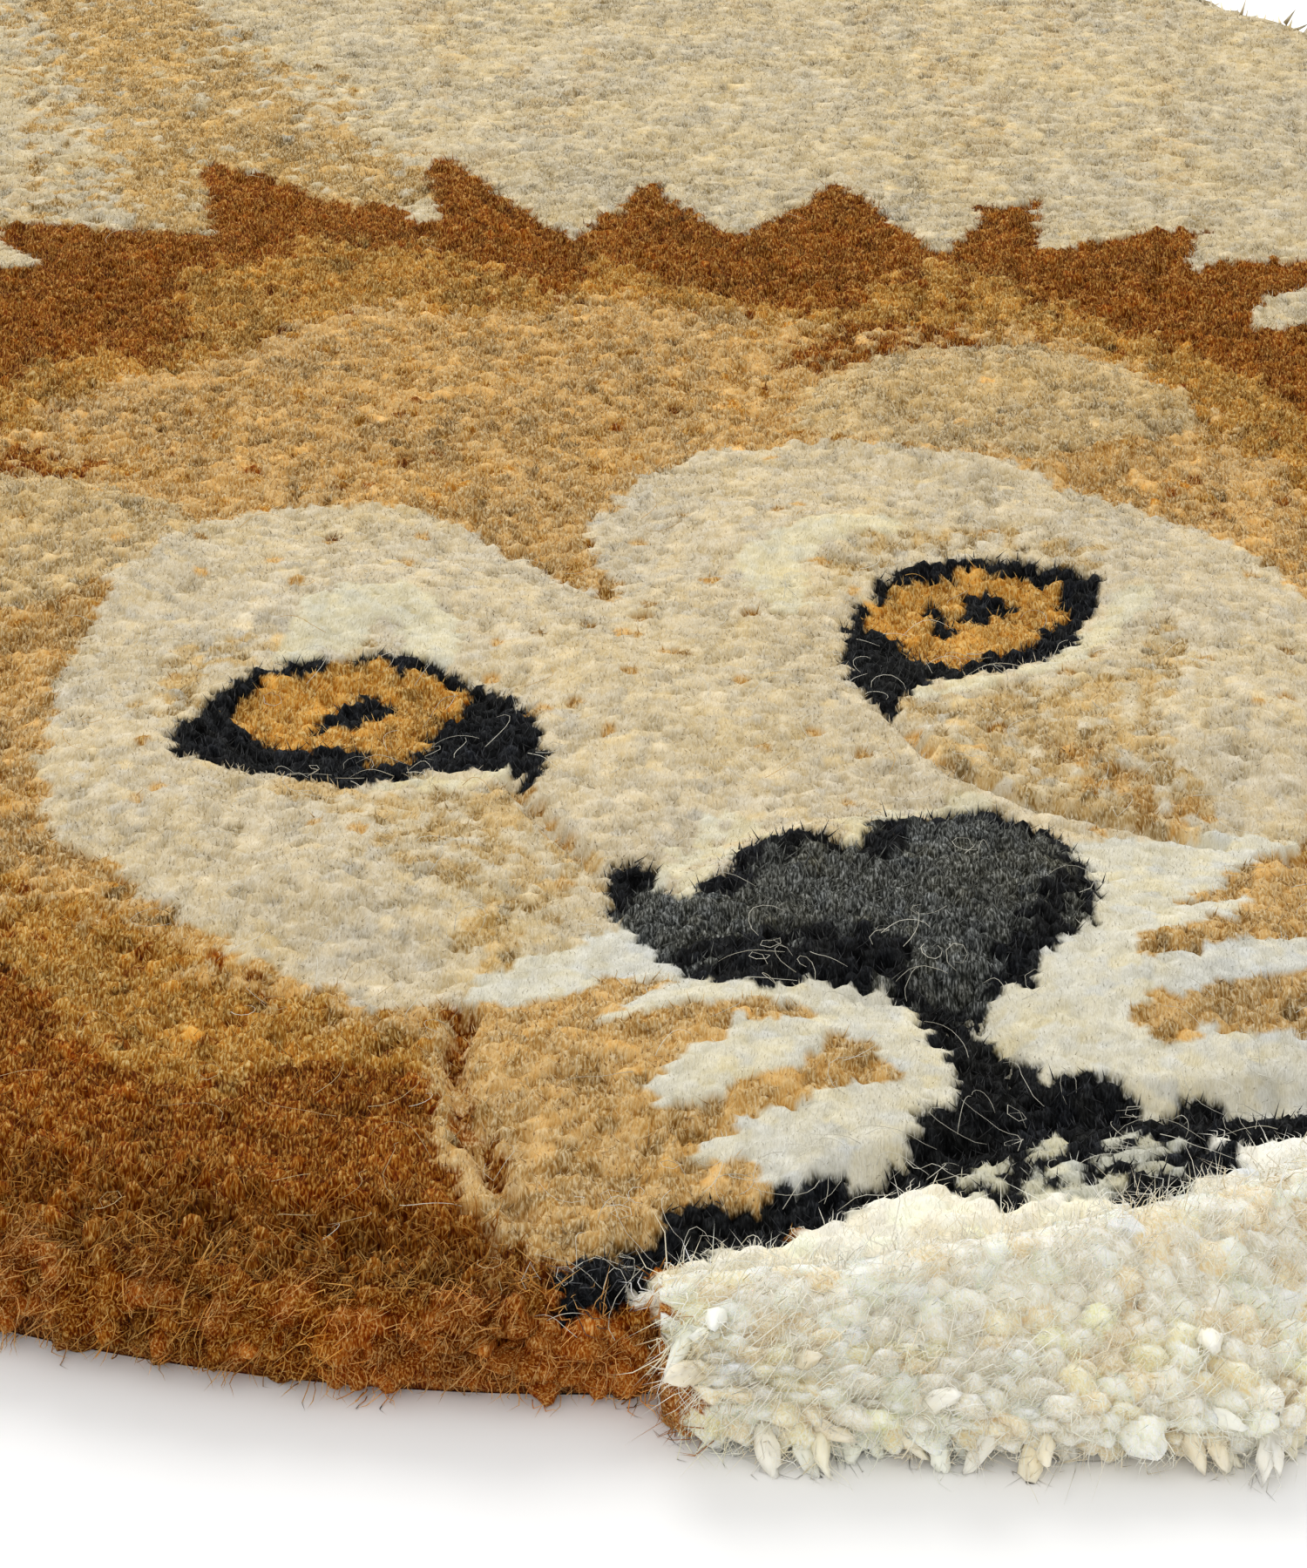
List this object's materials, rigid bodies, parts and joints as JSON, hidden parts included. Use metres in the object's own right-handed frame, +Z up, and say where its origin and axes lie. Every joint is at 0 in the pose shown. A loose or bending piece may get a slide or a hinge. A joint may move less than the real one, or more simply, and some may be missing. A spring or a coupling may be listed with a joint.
{
  "type": "animal shaped kids rug",
  "caption": "Flat hand-tufted wool rug in the outline of a lion's pelt, with a carved lion's face, a mane and a shaggy chin, for a child's room floor.",
  "frame": {"origin": "on the floor, at the middle of the rug's footprint", "axes": "+Z up from the floor, +Y from the chin towards the tail, +X to the right when the face is seen upright from above"},
  "size_m": [1.0142, 1.4938, 0.0239],
  "materials": {
    "pile_wool": "cut wool pile, matt, in cream, tan, brown and black yarns",
    "chin_wool": "long shaggy wool locks, matt, cream white"
  },
  "bodies": {
    "root": {"rug_pile": "pile_wool", "chin_shag": "chin_wool"}
  },
  "joints": []
}
